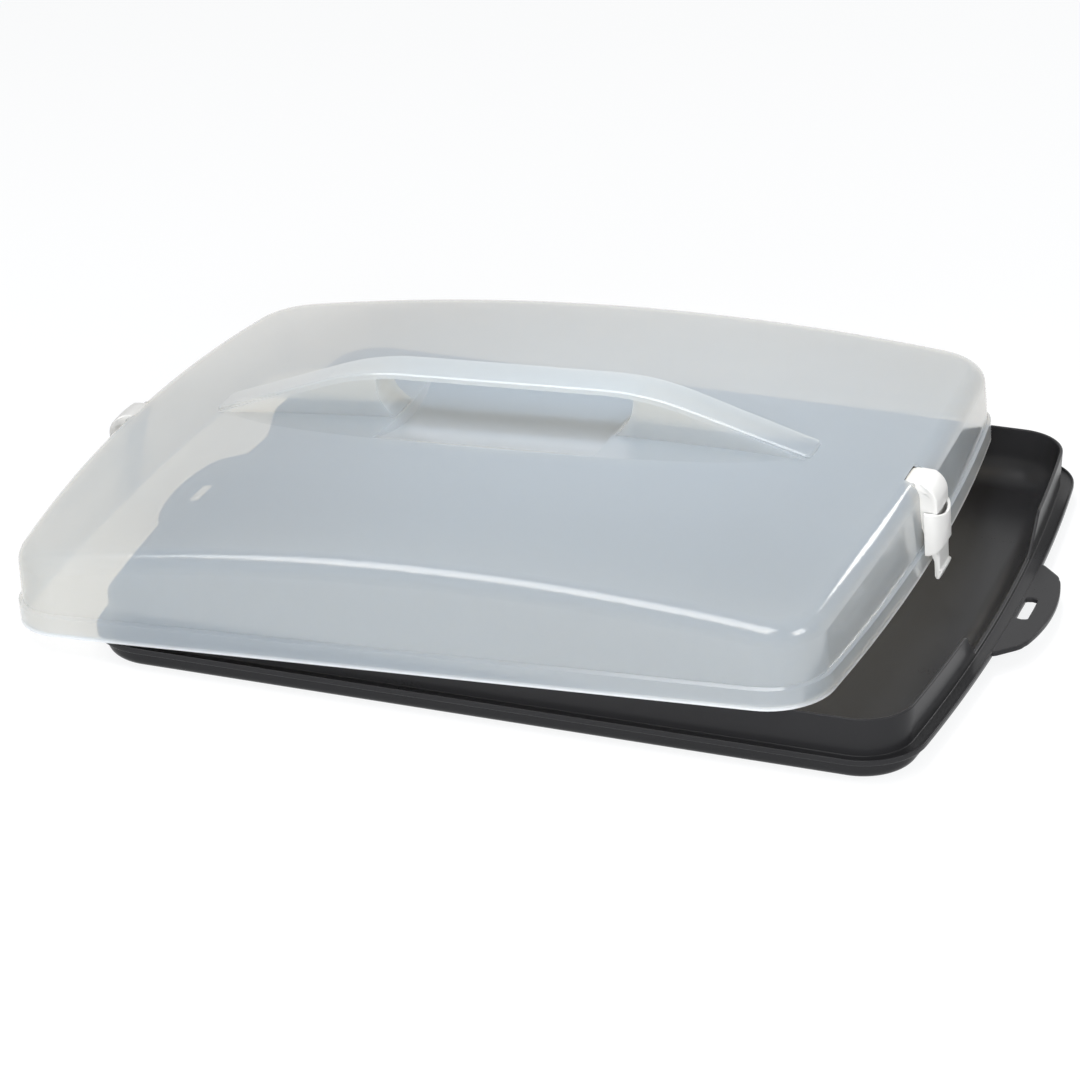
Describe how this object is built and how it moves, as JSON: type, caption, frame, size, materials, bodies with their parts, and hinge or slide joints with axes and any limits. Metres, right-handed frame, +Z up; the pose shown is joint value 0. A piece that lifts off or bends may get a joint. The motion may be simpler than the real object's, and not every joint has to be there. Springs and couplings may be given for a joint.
{
  "type": "sheet cake carrier",
  "caption": "Shallow dark tray for a sheet cake with a frosted domed lid, a moulded strap handle on top and a hinged white clip at each short end.",
  "frame": {"origin": "middle of the tray's underside, on the table", "axes": "+X along the tray towards the end that the raised end of the lid covers, +Y across the tray, +Z up"},
  "size_m": [0.5264, 0.3662, 0.1105],
  "materials": {
    "tray_plastic": "satin anthracite",
    "lid_plastic": "frosted translucent",
    "clip_plastic": "opaque white, smooth"
  },
  "bodies": {
    "carrier": {"tray": "tray_plastic", "lid": "lid_plastic"},
    "right_clip": {"right_clip": "clip_plastic"},
    "left_clip": {"left_clip": "clip_plastic"}
  },
  "joints": [
    {"name": "right_clip_swing", "type": "hinge", "parent": "carrier", "child": "right_clip", "pos_m": [0.17156, 0, 0.07827], "axis": [0, -1, 0], "range_deg": [0, 95]},
    {"name": "left_clip_swing", "type": "hinge", "parent": "carrier", "child": "left_clip", "pos_m": [-0.26634, 0, 0.05508], "axis": [0, 1, 0], "range_deg": [0, 95]}
  ]
}
